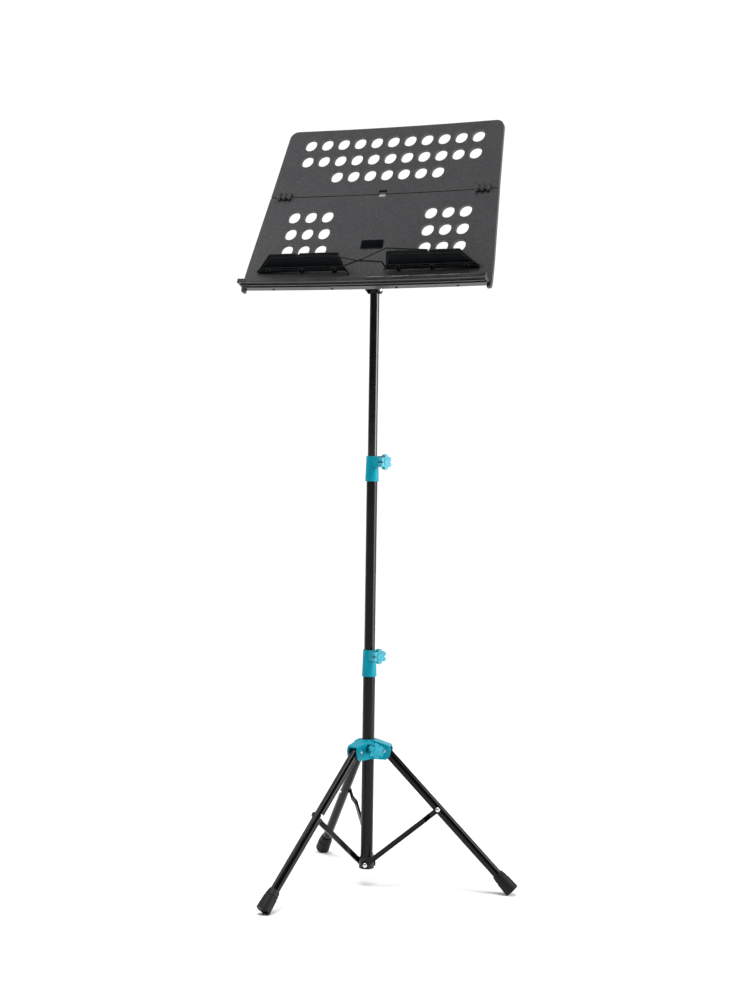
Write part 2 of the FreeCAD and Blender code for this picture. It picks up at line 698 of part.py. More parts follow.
for side in (-1, 1):
    for step in (0, 2, 4):
        x_low, x_high = knuckle_span(side, step, -gap / 2)
        finger = block(x_low, x_high, -d.finger_out, 1, d.fold_along,
                       d.fold_along + d.finger_height)
        barrel = across_rod(d.knuckle_radius, x_low, x_high, d.fold_out, d.fold_along)
        tip = across_rod(d.finger_tip_radius, x_low, x_high, d.finger_tip_out,
                         d.fold_along - d.finger_tip_drop)
        leaves.append(fuse(finger, barrel, tip))
        slot_low = d.fold_along + d.finger_height + 0.4
        reliefs.append(block(x_low, x_high, -30, -1.2, slot_low, slot_low + 2.2))
    for step in (1, 3):
        x_low, x_high = knuckle_span(side, step, gap / 2)
        reliefs.append(across_rod(d.inner_knuckle_radius + knuckle_gap, x_low, x_high,
                                  d.fold_out, d.fold_along))
    x_low, x_high = (d.knuckle_start - 1, d.knuckle_end + 1)
    x_low, x_high = (x_low, x_high) if side > 0 else (-x_high, -x_low)
    pin_bores.append(across_rod(d.fold_pin_diameter / 2 + d.slide_gap, x_low, x_high,
                                d.fold_out, d.fold_along))
desk_node("upper_panel", cut(upper_plate, *reliefs))
behind = curved_slab(0, -30, -320, 100, 275)
desk_node("upper_knuckles", cut(group(*leaves), behind, *pin_bores))

# lower panel
head = d.lower_panel_head
foot = d.lower_panel_foot
top = d.lower_panel_top
bottom = d.lower_panel_bottom
shoulder = bottom + 48
half_outline = (
    (head, top), (foot, shoulder), (d.ear_outer, bottom + 3), (d.ear_outer, d.ear_bottom),
    (d.ear_inner, d.ear_bottom), (d.ear_inner, bottom),
)
mirrored = tuple((-across, along) for across, along in reversed(half_outline))
lower_outline = rounded(
    prism("XZ_Plane", half_outline + mirrored, thick), 4,
    ((d.ear_outer, d.ear_bottom), (-d.ear_outer, d.ear_bottom)))
lower_inset = prism("XZ_Plane", (
    (head - wall, top - wall), (foot - wall, shoulder), (foot - wall, bottom + wall),
    (wall - foot, bottom + wall), (wall - foot, shoulder), (wall - head, top - wall)), thick)
lower_holes = []
for side in (-1, 1):
    lower_holes += hole_centres((-1, 0, 1), (-1, 0, 1), side * d.lower_holes_across,
                                d.lower_holes_middle)
screw_heights = (-150.0, -200.0, -250.0)
tray_screws_across = (-200.0, -70.0, 70.0, 200.0)
stiffeners = [out_rod(6, -30, 20, 0, height) for height in screw_heights]
for across in tray_screws_across:
    stiffeners.append(block(across - 5, across + 5, -30, 30, bottom, bottom + 16))
for across in (-60.0, 60.0):
    stiffeners.append(block(across - 1.2, across + 1.2, -30, 30, bottom, top))
wire_roots = ((d.wire_root, d.wire_left_along), (-d.wire_root, d.wire_right_along))
for across, along in wire_roots:
    stiffeners.append(out_rod(5, -30, 20, across, along))
lower_plate = panel(lower_outline, lower_inset, d.ear_bottom, top, lower_holes, stiffeners)

additions = [out_rod(3.6, -1, 3, across, along) for across, along in wire_roots]
removals = [out_rod(d.wire_diameter / 2 + d.slide_gap, -30, 30, across, along)
            for across, along in wire_roots]
removals += [out_rod(1.95, -30, -1, 0, height) for height in screw_heights]
removals += [cylinder(1.55, 14, x=across, y=4.5 - bend_at(across), z=bottom - 1)
             for across in tray_screws_across]
removals.append(block(-catch_half - 0.05, catch_half + 0.05, d.pad_back - 0.05, 7.05,
                      d.catch_bottom - 0.05, top + 5))
pad_half = d.pad_half_width
removals.append(block(-pad_half - 0.3, pad_half + 0.3, -30, d.pad_back,
                      d.pad_bottom - 0.3, top + 5))
lugs = (70.0, 142.0, 215.0)
leaves = []
flap_lugs = []
pin_bores = []
flap_bores = []
for side in (-1, 1):
    for step in (1, 3):
        x_low, x_high = knuckle_span(side, step, -gap / 2)
        leaf = block(x_low, x_high, -d.fold_out, 1,
                     d.fold_along - d.inner_knuckle_radius - 0.4, d.fold_along)
        barrel = across_rod(d.inner_knuckle_radius, x_low, x_high, d.fold_out,
                            d.fold_along)
        leaves.append(fuse(leaf, barrel))
    for step in (0, 2, 4):
        x_low, x_high = knuckle_span(side, step, gap / 2)
        removals.append(across_rod(finger_sweep, x_low, x_high, d.fold_out,
                                   d.fold_along))
    x_low, x_high = (d.knuckle_start - 1, d.knuckle_end + 1)
    x_low, x_high = (x_low, x_high) if side > 0 else (-x_high, -x_low)
    pin_bores.append(across_rod(d.fold_pin_diameter / 2 + 0.02, x_low, x_high,
                                d.fold_out, d.fold_along))
    for middle in lugs:
        low = side * middle - d.lug_width / 2
        high = low + d.lug_width
        foot = block(low, high, -d.flap_out, 1,
                     d.flap_along - d.flap_knuckle_radius + 0.5,
                     d.flap_along + d.flap_knuckle_radius - 0.5)
        eye = across_rod(d.flap_knuckle_radius, low, high, d.flap_out, d.flap_along)
        flap_lugs.append(fuse(foot, eye))
    x_low, x_high = (d.flap_start - 1, d.flap_end + 1)
    x_low, x_high = (x_low, x_high) if side > 0 else (-x_high, -x_low)
    flap_bores.append(across_rod(d.flap_pin_diameter / 2 + 0.02, x_low, x_high,
                                 d.flap_out, d.flap_along))
desk_node("lower_panel", cut(fuse(lower_plate, *additions), *removals))
behind = curved_slab(0, -30, -320, 100, 275)
desk_node("lower_knuckles", cut(group(*leaves), behind, *pin_bores))
behind = curved_slab(0, -30, -320, 100, 275)
desk_node("flap_lugs", cut(group(*flap_lugs), behind, *flap_bores))

pins = []
flap_pins = []
for side in (-1, 1):
    x_low, x_high = (d.knuckle_start, d.knuckle_end)
    x_low, x_high = (x_low, x_high) if side > 0 else (-x_high, -x_low)
    pins.append(across_rod(d.fold_pin_diameter / 2, x_low, x_high, d.fold_out, d.fold_along))
    x_low, x_high = (d.flap_start, d.flap_end)
    x_low, x_high = (x_low, x_high) if side > 0 else (-x_high, -x_low)
    flap_pins.append(across_rod(d.flap_pin_diameter / 2, x_low, x_high,
                                d.flap_out, d.flap_along))
desk_node("fold_hinge_pins", group(*pins))
desk_node("flap_hinge_pins", group(*flap_pins))

desk_node("fold_catch", fuse(
    block(-catch_half, catch_half, d.pad_back, 7, d.catch_bottom, d.catch_top),
    block(-pad_half, pad_half, 0.6, d.pad_back + 0.5, d.pad_bottom, d.pad_top)))

badge_half = d.badge_width / 2
badge_low = d.badge_middle - d.badge_height / 2
badge_high = d.badge_middle + d.badge_height / 2
badge_outline = rounded(
    prism("XZ_Plane", ((-badge_half, badge_low), (badge_half, badge_low),
                       (badge_half, badge_high), (-badge_half, badge_high)), 20),
    2, ((-badge_half, badge_low), (badge_half, badge_low),
        (badge_half, badge_high), (-badge_half, badge_high)))
desk_node("badge_plate", common(badge_outline, curved_slab(1, 0, -230, -180, 30)))

# tray under the lower panel
tray_top = bottom
reach = d.tray_reach
bead_middle = reach - d.bead_radius
bead_window = block(-d.tray_half_width, d.tray_half_width, -80, 40, -320, -280)
bead_curls = []
for height in (d.bead_low, d.bead_high):
    curl = doc.addObject("Part::Torus", "Torus")
    drive(curl, "Radius1", d.bend_radius - bead_middle)
    drive(curl, "Radius2", d.bead_radius)
    place(curl, y=-d.bend_radius, z=height)
    bead_curls.append(common(curl, bead_window))
tray = fuse(
    curved_slab(0, -d.rim_depth, d.tray_bottom, tray_top, d.ear_inner - 0.5),
    curved_slab(reach - 1, 0, d.tray_bottom, tray_top, d.tray_half_width),
    curved_slab(reach, reach - 2 * d.bead_radius, d.bead_low, d.bead_high, d.tray_half_width),
    curved_slab(10, 8, d.tray_bottom - 3, d.tray_bottom, d.tray_half_width - 4),
    curved_slab(19, 17, d.tray_bottom - 3, d.tray_bottom, d.tray_half_width - 4),
    *bead_curls,
)
screw_bores = []
screws = []
for across in tray_screws_across:
    back = 4.5 - bend_at(across)
    screw_bores.append(cylinder(1.55, 12, x=across, y=back, z=d.tray_bottom - 4))
    shank = cylinder(1.5, 15, x=across, y=back, z=d.tray_bottom)
    button = dome(Size(3.0, "3"), Size(1.8, "1.8"), across, back, d.tray_bottom,
                  Rotation(X_AXIS, 180))
    screws.append(fuse(shank, button))
desk_node("book_tray", cut(tray, *screw_bores))
desk_node("tray_screws", group(*screws))

# bracket between the lower panel and the top of the column
back_face = d.rim_depth
web_back = back_face + d.bracket_sheet
ear_outside = d.ear_gap + d.bracket_sheet
pivot_y = -d.tilt_out
pivot_z = d.tilt_along
web = block(-ear_outside, ear_outside, back_face, web_back, d.bracket_foot, d.bracket_head)
cheek = fuse(
    prism("YZ_Plane", (
        (back_face, d.bracket_foot), (pivot_y, d.bracket_foot),
        (pivot_y + 9.6, pivot_z + 2.7), (web_back + 2, d.bracket_head),
        (back_face, d.bracket_head)), 2 * ear_outside),
    across_rod(d.ear_radius, -ear_outside, ear_outside, d.tilt_out, d.tilt_along),
)
between = block(-d.ear_gap, d.ear_gap, web_back, 90, -330, -100)
screw_holes = [out_rod(1.95, -30, 0, 0, height) for height in screw_heights]
tilt_radius = d.tilt_bolt_diameter / 2
tilt_bore = across_rod(tilt_radius + 0.02, -30, 30, d.tilt_out, d.tilt_along)
desk_node("desk_bracket", cut(fuse(web, cut(cheek, between)), tilt_bore, *screw_holes))

screws = []
for height in screw_heights:
    shank = out_rod(1.9, -web_back, -2, 0, height)
    button = dome(Size(4.4, "4.4"), Size(2.4, "2.4"), 0, web_back, height, ALONG_Y)
    screws.append(fuse(shank, button))
desk_node("bracket_screws", group(*screws))

bolt = across_rod(tilt_radius, -ear_outside - 4, ear_outside, d.tilt_out, d.tilt_along)
bolt_head = dome(Size(5.2, "5.2"), Size(3.4, "3.4"), ear_outside, -d.tilt_out,
                 d.tilt_along, ALONG_X)
desk_node("tilt_bolt", fuse(bolt, bolt_head))
nut = doc.addObject("Part::Prism", "Prism")
nut.Polygon = 6
drive(nut, "Circumradius", tilt_radius + 2.6)
drive(nut, "Height", 4.2)
place(nut, -ear_outside - 4.2, -d.tilt_out, d.tilt_along, ALONG_X)
desk_node("tilt_nut", cut(nut, across_rod(tilt_radius + 0.02, -30, 0, d.tilt_out,
                                          d.tilt_along)))

# page flaps: X across, Z up the flap from its hinge pin, -Y on the player's side
flap_frame = desk_frame.multiply(Placement(
    Vector(0, -number(d.flap_out), number(d.flap_along)),
    Rotation(X_AXIS, number(d.flap_lean))))
half = d.flap_thickness / 2
for name, side in (("flap_left", -1), ("flap_right", 1)):
    corners = (
        (side * d.flap_start, 0), (side * d.flap_end, 0), (side * 206, d.flap_length),
        (side * 145.5, d.flap_length), (side * 141.5, d.flap_length - 5.5),
        (side * 137.5, d.flap_length), (side * 52, d.flap_length),
    )
    inset = (
        (side * (d.flap_start + 4), 7), (side * (d.flap_end - 10), 7),
        (side * 203, d.flap_length - 7), (side * 56, d.flap_length - 7),
    )
    plate = rounded(prism("XZ_Plane", corners, d.flap_thickness), 5,
                    ((side * 206, d.flap_length), (side * 52, d.flap_length)))
    field = carry(prism("XZ_Plane", inset, 1.2), Placement(Vector(0, -number(half), 0),
                                                         Rotation()))
    x_low, x_high = (d.flap_start, d.flap_end) if side > 0 else (-d.flap_end, -d.flap_start)
    barrel = across_rod(d.flap_knuckle_radius, x_low, x_high, 0, 0)
    removals = [field, across_rod(d.flap_pin_diameter / 2 + d.slide_gap,
                                  x_low - 1, x_high + 1, 0, 0)]
    for middle in lugs:
        low = side * middle - d.lug_width / 2 - 0.4
        removals.append(block(low, low + d.lug_width + 0.8, -6, 6, -6,
                              d.flap_knuckle_radius + 1.3))
    node(name, carry(cut(fuse(plate, barrel), *removals), flap_frame))


def wire(name, path):
    """Round wire through (across, out, along) points with rounded corners."""
    radius = d.wire_diameter / 2
    pieces = []
    for start, end in zip(path[:-1], path[1:]):
        first = Vector(*[number(size) for size in start])
        last = Vector(*[number(size) for size in end])
        pieces.append(cylinder(radius, (last - first).Length, *start,
                               turn=Rotation(Z_AXIS, last - first)))
    for corner in path[1:]:
        pieces.append(sphere(radius, *corner))
    return desk_node(name, fuse(*pieces))


def wire_cap(name, across, along):
    back = -d.rim_depth - 0.4
    cap = out_rod(d.wire_cap_radius, back - d.wire_cap_height, back, across, along)
    bore = out_rod(d.wire_diameter / 2 + 0.02, -40, 0, across, along)
    return desk_node(name, cut(cap, bore))


root = d.wire_root
back = d.rim_depth + 3.6
wire("wire_left", (
    (root, back, d.wire_left_along), (root, -23, d.wire_left_along),
    (-10, -25.5, -255), (-50, -39.8, -252), (-143, -42, -248),
))
wire("wire_right", (
    (-root, back, d.wire_right_along), (-root, -28, d.wire_right_along),
    (-1, -30.5, -255), (57, -52, -244), (143, -46, -247),
))
wire_cap("wire_cap_left", root, d.wire_left_along)
wire_cap("wire_cap_right", -root, d.wire_right_along)


# ---------------------------------------------------------------- check and export

doc.recompute()
for feature in doc.Objects:
    if "Invalid" in feature.State or "Error" in feature.State:
        raise RuntimeError("feature %s is not valid: %s" % (feature.Label, feature.State))
for feature in nodes:
    if feature.Shape.isNull() or not feature.Shape.isValid():
        raise RuntimeError("node %s has no valid shape" % feature.Label)
os.makedirs("parts", exist_ok=True)
for feature in nodes:
    feature.Shape.exportStep("parts/%s.step" % feature.Label)
    print("%-18s %10.1f mm3  %d solids" % (
        feature.Label, feature.Shape.Volume, len(feature.Shape.Solids)))
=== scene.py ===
import json
import math

import bpy
from mathutils import Matrix, Vector

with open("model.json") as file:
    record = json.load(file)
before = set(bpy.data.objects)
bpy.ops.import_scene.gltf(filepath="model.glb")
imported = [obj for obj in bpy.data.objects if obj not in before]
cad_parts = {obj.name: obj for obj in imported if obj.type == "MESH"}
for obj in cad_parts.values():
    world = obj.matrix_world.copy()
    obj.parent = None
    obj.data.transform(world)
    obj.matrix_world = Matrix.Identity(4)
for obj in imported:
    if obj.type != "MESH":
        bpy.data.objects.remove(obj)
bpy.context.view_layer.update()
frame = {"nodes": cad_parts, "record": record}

# The camera, where the photographer stood: place in metres, angles in radians, lens
# and sensor in millimetres.
CAMERA_TURN = 0.4129       # about Z, from facing +Y
CAMERA_YAW = 0.002
CAMERA_PITCH = -0.038
CAMERA_ROLL = 0.0147
CAMERA_PLACE = (1.404, -3.206, 0.921)
CAMERA_LENS = 62.3
CAMERA_SENSOR = 36.0
CAMERA_REACH = 200.0

# The studio's white behind the camera and ahead of it, and the cosines of the angle to
# the camera's line between which it changes.
WORLD_BEHIND = 0.05
WORLD_AHEAD = 1.05
WORLD_FADE = (0.25, 0.85)
FLOOR_REACH = 60.0

# Where edges and corners begin and end, as cosine and openness. As painted shade, a
# closed corner keeps only CORNER_SHADE of its colour.
SHADING_SAMPLES = 6
EDGE_FADE = (1.0, 0.86)
CORNER_FADE = (0.92, 0.5)
CORNER_SHADE = 0.12

# An edge's lighter colour, for rubbing and as a painted highlight where edges catch the
# light, is, where a surface gives none, its own by the gain plus the lift.
WEAR_AND_HIGHLIGHT_GAIN = 1.7
WEAR_AND_HIGHLIGHT_LIFT = 0.01

# The stretch of a noise's values that a change in colour or gloss is spread over.
NOISE_MIDDLE = (0.35, 0.65)
NOISE_WIDE = (0.3, 0.7)
NOISE_ROUGHNESS = 0.55

# Dust: how wide a speck is in its cell, the scale and values of the slow noise that
# lets it settle, and its colour. Scratches: the noise values that draw a line.
SPECK_EDGE = 0.16
DUST_PATCH = 35.0
DUST_FADE = (0.5, 0.7)
DUST_COLOUR = (0.42, 0.41, 0.39)
SCRATCH_FADE = (0.62, 0.74)

# The desk's own upward direction, and how far along it two edges of the catch lie.
DESK_UP = (0.0, 0.41215, 0.91112)
FOLD_LINE = 1.29455
PAD_TOP = 1.30035
EDGE_BLUR = 0.0002

TURQUOISE = (0.0, 0.25, 0.335)
# The knobs' turquoise is lighter than TURQUOISE as painted light, since they face the key
# light.
LIT_KNOB_TURQUOISE = (0.002, 0.27, 0.36)

# ------------------------------------------------------------------ materials


class Nodes:
    """Short calls for building one node material."""

    def __init__(self, name):
        self.material = bpy.data.materials.new(name)
        self.material.use_nodes = True
        self.tree = self.material.node_tree
        self.tree.nodes.clear()
        output = self.add("ShaderNodeOutputMaterial")
        self.shader = self.add("ShaderNodeBsdfPrincipled")
        self.link(self.shader.outputs["BSDF"], output.inputs["Surface"])
        self.place = self.add("ShaderNodeTexCoord").outputs["Object"]

    def add(self, kind):
        return self.tree.nodes.new(kind)

    def link(self, out, into):
        self.tree.links.new(out, into)

    def noise(self, scale, detail=3.0, stretch=None):
        """Noise in the object's own metres; stretch squeezes it along an axis."""
        node = self.add("ShaderNodeTexNoise")
        node.inputs["Scale"].default_value = scale
        node.inputs["Detail"].default_value = detail
        node.inputs["Roughness"].default_value = NOISE_ROUGHNESS
        source = self.place
        if stretch:
            mapping = self.add("ShaderNodeMapping")
            mapping.inputs["Scale"].default_value = stretch
            self.link(source, mapping.inputs["Vector"])
            source = mapping.outputs["Vector"]
        self.link(source, node.inputs["Vector"])
        return node.outputs["Fac"]

    def cells(self, scale):
        node = self.add("ShaderNodeTexVoronoi")
        node.inputs["Scale"].default_value = scale
        self.link(self.place, node.inputs["Vector"])
        return node.outputs["Distance"]

    def combine(self, operation, first, second):
        node = self.add("ShaderNodeMath")
        node.operation = operation
        self.link(first, node.inputs[0])
        self.link(second, node.inputs[1])
        return node.outputs["Value"]

    def specks(self, scale, strength):
        """Sparse pale dust, strongest where a slow noise lets it settle."""
        point = self.span(self.cells(scale), (0.0, SPECK_EDGE), (1.0, 0.0))
        patch = self.span(self.noise(DUST_PATCH, detail=4.0), DUST_FADE, (0.0, strength))
        return self.combine("MULTIPLY", point, patch)

    def corners(self, reach, depth):
        """Painted shade: depth where neighbouring faces close in within reach, 0 in the
        open.
        """
        node = self.add("ShaderNodeAmbientOcclusion")
        node.samples = SHADING_SAMPLES
        node.inputs["Distance"].default_value = reach
        return self.span(node.outputs["AO"], CORNER_FADE, (0.0, depth))

    def span(self, value, source, target):
        """value moved from the source range to the target range, held at its ends."""
        node = self.add("ShaderNodeMapRange")
        node.inputs["From Min"].default_value = source[0]
        node.inputs["From Max"].default_value = source[1]
        node.inputs["To Min"].default_value = target[0]
        node.inputs["To Max"].default_value = target[1]
        self.link(value, node.inputs["Value"])
        return node.outputs["Result"]

    def blend_colour(self, amount, first, second):
        """From the first colour to the second; each is a constant or a socket."""
        node = self.add("ShaderNodeMix")
        node.data_type = "RGBA"
        self.link(amount, node.inputs["Factor"])
        for name, colour in (("A", first), ("B", second)):
            socket = [s for s in node.inputs if s.name == name and s.type == "RGBA"][0]
            if isinstance(colour, tuple):
                socket.default_value = (*colour, 1.0)
            else:
                self.link(colour, socket)
        return [s for s in node.outputs if s.type == "RGBA"][0]

    def soft_edges(self, radius):
        node = self.add("ShaderNodeBevel")
        node.samples = SHADING_SAMPLES
        node.inputs["Radius"].default_value = radius
        return node.outputs["Normal"]

    def edge_mask(self, rounded, depth):
        """depth on edges and 0 on open faces, from how far the rounded normal turns."""
        geometry = self.add("ShaderNodeNewGeometry")
        dot = self.add("ShaderNodeVectorMath")
        dot.operation = "DOT_PRODUCT"
        self.link(rounded, dot.inputs[0])
        self.link(geometry.outputs["Normal"], dot.inputs[1])
        return self.span(dot.outputs["Value"], EDGE_FADE, (0.0, depth))

    def bump(self, height, distance, normal):
        node = self.add("ShaderNodeBump")
        node.inputs["Strength"].default_value = 1.0
        node.inputs["Distance"].default_value = distance
        self.link(height, node.inputs["Height"])
        self.link(normal, node.inputs["Normal"])
        return node.outputs["Normal"]

    def paint(self, shade, gloss, normal, specular):
        """Wires the finished colour, roughness and normal into the shader."""
        self.link(shade, self.shader.inputs["Base Color"])
        self.link(gloss, self.shader.inputs["Roughness"])
        self.link(normal, self.shader.inputs["Normal"])
        self.shader.inputs["Specular IOR Level"].default_value = specular


def surface(name, colour, roughness, metallic=0.0, specular=0.5, tone=(9.0, 0.12),
            grain=(1800.0, 0.00002), scuff=(60.0, 0.05), edge=0.0006, wear_and_highlight=0.12,
            wear_and_highlight_colour=None, coarse=None, painted_corner_shade=(0.004, 0.45), dust=None, scratch=None):
    """Moulded, coated or plated surface with grain, uneven gloss and softened edges.

    tone is the scale and depth of the slow colour change, grain and coarse are the
    scale and height of the two surface textures, scuff is the scale and depth of the
    change in gloss. edge is the radius that shading gives to edges, and
    wear_and_highlight is how far they turn to wear_and_highlight_colour, lighter for
    rubbing and as a painted highlight where edges catch the light. painted_corner_shade
    is the reach and depth of the painted shade that darkens corners, dust the scale and
    strength of pale specks, scratch the scale, stretch and depth of fine lines.
    """
    nodes = Nodes(name)
    light = tuple(min(1.0, part * (1 + tone[1])) for part in colour)
    dark = tuple(part * (1 - tone[1]) for part in colour)
    patches = nodes.span(nodes.noise(tone[0]), NOISE_MIDDLE, (0.0, 1.0))
    shade = nodes.blend_colour(patches, dark, light)
    rounded = nodes.soft_edges(edge)
    # Edges turn lighter, partly for rubbing and partly as a painted highlight where they
    # catch the light.
    worn_and_lit_edge = wear_and_highlight_colour or tuple(min(1.0, part * WEAR_AND_HIGHLIGHT_GAIN + WEAR_AND_HIGHLIGHT_LIFT) for part in colour)
    shade = nodes.blend_colour(nodes.edge_mask(rounded, wear_and_highlight), shade, worn_and_lit_edge)
    if dust:
        shade = nodes.blend_colour(nodes.specks(*dust), shade, DUST_COLOUR)
    # Painted shade: where neighbouring faces close in, the colour darkens towards
    # CORNER_SHADE times itself.
    closed = tuple(part * CORNER_SHADE for part in colour)
    shade = nodes.blend_colour(nodes.corners(*painted_corner_shade), shade, closed)
    gloss = nodes.span(nodes.noise(scuff[0], detail=5.0), NOISE_WIDE,
                       (roughness - scuff[1], roughness + scuff[1]))
    if scratch:
        scale, stretch, depth = scratch
        lines = nodes.noise(scale, detail=1.0, stretch=stretch)
        gloss = nodes.combine("ADD", gloss, nodes.span(lines, SCRATCH_FADE, (0.0, depth)))
    normal = nodes.bump(nodes.noise(grain[0], detail=2.0), grain[1], rounded)
    if coarse:
        normal = nodes.bump(nodes.cells(coarse[0]), coarse[1], normal)
    nodes.paint(shade, gloss, normal, specular)
    nodes.shader.inputs["Metallic"].default_value = metallic
    return nodes.material


def catch_surface():
    """Catch tab: pale below the fold line, desk grey above it, and near black past the
    pad top as painted shade in its slot.
    """
    nodes = Nodes("fold_catch")
    along = nodes.add("ShaderNodeVectorMath")
    along.operation = "DOT_PRODUCT"
    along.inputs[1].default_value = DESK_UP
    nodes.link(nodes.place, along.inputs[0])
    patches = nodes.span(nodes.noise(300.0), NOISE_MIDDLE, (0.0, 1.0))
    shade = nodes.blend_colour(patches, (0.27, 0.275, 0.28), (0.36, 0.365, 0.37))
    # Past the fold line the catch turns desk grey; past the pad top it turns near black
    # as painted shade in its slot.
    for line, colour in ((FOLD_LINE, (0.045, 0.046, 0.049)),
                         (PAD_TOP, (0.002, 0.002, 0.002))):
        past = nodes.span(along.outputs["Value"], (line - EDGE_BLUR, line + EDGE_BLUR),
                          (0.0, 1.0))
        shade = nodes.blend_colour(past, shade, colour)
    gloss = nodes.span(nodes.noise(150.0), NOISE_WIDE, (0.42, 0.55))
    normal = nodes.bump(nodes.noise(2000.0), 0.00003, nodes.soft_edges(0.0006))
    nodes.paint(shade, gloss, normal, 0.3)
    return nodes.material


LOOKS = {
    "gloss_black_steel": surface(
        "gloss_black_steel", (0.002, 0.002, 0.0022), 0.14, specular=0.18,
        tone=(14.0, 0.2), grain=(420.0, 0.00001), scuff=(45.0, 0.04), edge=0.0004,
        wear_and_highlight=0.1, dust=(1500.0, 0.02), scratch=(900.0, (1.0, 1.0, 0.02), 0.05)),
    "upper_tube": surface(
        "upper_tube", (0.003, 0.003, 0.0033), 0.13, specular=0.55,
        tone=(14.0, 0.2), grain=(420.0, 0.000008), scuff=(45.0, 0.03), edge=0.0004,
        wear_and_highlight=0.1, dust=(1500.0, 0.02), scratch=(900.0, (1.0, 1.0, 0.02), 0.03)),
    "turquoise_plastic": surface(
        "turquoise_plastic", TURQUOISE, 0.36, specular=0.12,
        tone=(30.0, 0.08), grain=(2600.0, 0.000012), scuff=(120.0, 0.06), edge=0.0009,
        wear_and_highlight=0.25, wear_and_highlight_colour=(0.04, 0.42, 0.53), painted_corner_shade=(0.006, 0.6)),
    "knob_plastic": surface(
        "knob_plastic", LIT_KNOB_TURQUOISE, 0.34, specular=0.36,
        tone=(40.0, 0.08), grain=(2600.0, 0.00001), scuff=(150.0, 0.06), edge=0.0015,
        wear_and_highlight=0.3, wear_and_highlight_colour=(0.07, 0.5, 0.62), painted_corner_shade=(0.006, 0.6)),
    "bracket_plastic": surface(
        "bracket_plastic", (0.009, 0.009, 0.01), 0.42, specular=0.3,
        tone=(30.0, 0.2), grain=(2000.0, 0.00003), scuff=(90.0, 0.08), edge=0.0008),
    "nylon": surface(
        "nylon", (0.012, 0.012, 0.013), 0.45, specular=0.3,
        tone=(40.0, 0.2), grain=(1500.0, 0.00002), edge=0.0005),
    "foot_rubber": surface(
        "foot_rubber", (0.006, 0.0063, 0.007), 0.5, specular=0.16,
        tone=(35.0, 0.3), grain=(2200.0, 0.00006), scuff=(70.0, 0.1), edge=0.0013,
        wear_and_highlight=0.4, wear_and_highlight_colour=(0.06, 0.062, 0.066), painted_corner_shade=(0.005, 0.6),
        dust=(1100.0, 0.12)),
    "bright_steel": surface(
        "bright_steel", (0.72, 0.72, 0.74), 0.24, metallic=1.0,
        tone=(60.0, 0.08), grain=(3000.0, 0.00001), scuff=(400.0, 0.08), edge=0.0005,
        wear_and_highlight=0.0),
    "desk_plastic": surface(
        "desk_plastic", (0.038, 0.0388, 0.041), 0.5, specular=0.34,
        tone=(330.0, 0.3), grain=(1500.0, 0.00008), scuff=(28.0, 0.07), edge=0.0012,
        wear_and_highlight=0.5, wear_and_highlight_colour=(0.12, 0.122, 0.128), coarse=(950.0, 0.00012),
        painted_corner_shade=(0.008, 0.96), dust=(1300.0, 0.05)),
    # The tray's colour is darker than the desk plastic it is moulded with, as painted
    # shade on its underside.
    "book_tray": surface(
        "book_tray", (0.011, 0.0113, 0.0122), 0.33, specular=0.75,
        tone=(330.0, 0.25), grain=(1500.0, 0.00006), scuff=(28.0, 0.07), edge=0.0011,
        wear_and_highlight=0.5, wear_and_highlight_colour=(0.14, 0.142, 0.148), coarse=(1250.0, 0.00003),
        painted_corner_shade=(0.008, 0.75), dust=(1300.0, 0.06)),
    # The flaps' strongly lightened rims are mostly a painted highlight along their edges.
    "flap_plastic": surface(
        "flap_plastic", (0.0022, 0.003, 0.0037), 0.3, specular=0.06,
        tone=(12.0, 0.25), grain=(1700.0, 0.00004), scuff=(36.0, 0.07), edge=0.0013,
        wear_and_highlight=0.9, wear_and_highlight_colour=(0.1, 0.104, 0.107), dust=(1200.0, 0.04)),
    "wire_steel": surface(
        "wire_steel", (0.003, 0.003, 0.0035), 0.3, specular=0.2,
        tone=(40.0, 0.2), grain=(900.0, 0.00001), edge=0.0003, wear_and_highlight=0.0),
    "cap_plastic": surface(
        "cap_plastic", (0.012, 0.012, 0.013), 0.4, specular=0.3,
        tone=(50.0, 0.2), grain=(2000.0, 0.00002), edge=0.0006),
    "fold_catch": catch_surface(),
}

# These nodes don't look like the rest of their material slot.
NODE_LOOKS = {"upper_tube": "upper_tube", "book_tray": "book_tray",
              "fold_catch": "fold_catch", "flap_lugs": "flap_plastic",
              "flap_hinge_pins": "wire_steel"}

for part in frame["record"]["subparts"]:
    node = frame["nodes"][part["node"]]
    node.data.materials.clear()
    node.data.materials.append(LOOKS[NODE_LOOKS.get(part["node"], part["material_slot"])])

# ------------------------------------------------------------------ studio


def studio_floor():
    """Large pale floor, the only staged piece."""
    mesh = bpy.data.meshes.new("studio_floor")
    mesh.from_pydata([(-FLOOR_REACH, -FLOOR_REACH, 0), (FLOOR_REACH, -FLOOR_REACH, 0),
                      (FLOOR_REACH, FLOOR_REACH, 0), (-FLOOR_REACH, FLOOR_REACH, 0)],
                     [], [(0, 1, 2, 3)])
    floor = bpy.data.objects.new("studio_floor", mesh)
    bpy.context.collection.objects.link(floor)
    nodes = Nodes("studio_floor")
    patches = nodes.span(nodes.noise(2.0), NOISE_WIDE, (0.0, 1.0))
    shade = nodes.blend_colour(patches, (0.9, 0.9, 0.9), (0.93, 0.93, 0.93))
    nodes.link(shade, nodes.shader.inputs["Base Color"])
    nodes.shader.inputs["Roughness"].default_value = 0.7
    nodes.shader.inputs["Specular IOR Level"].default_value = 0.2
    mesh.materials.append(nodes.material)


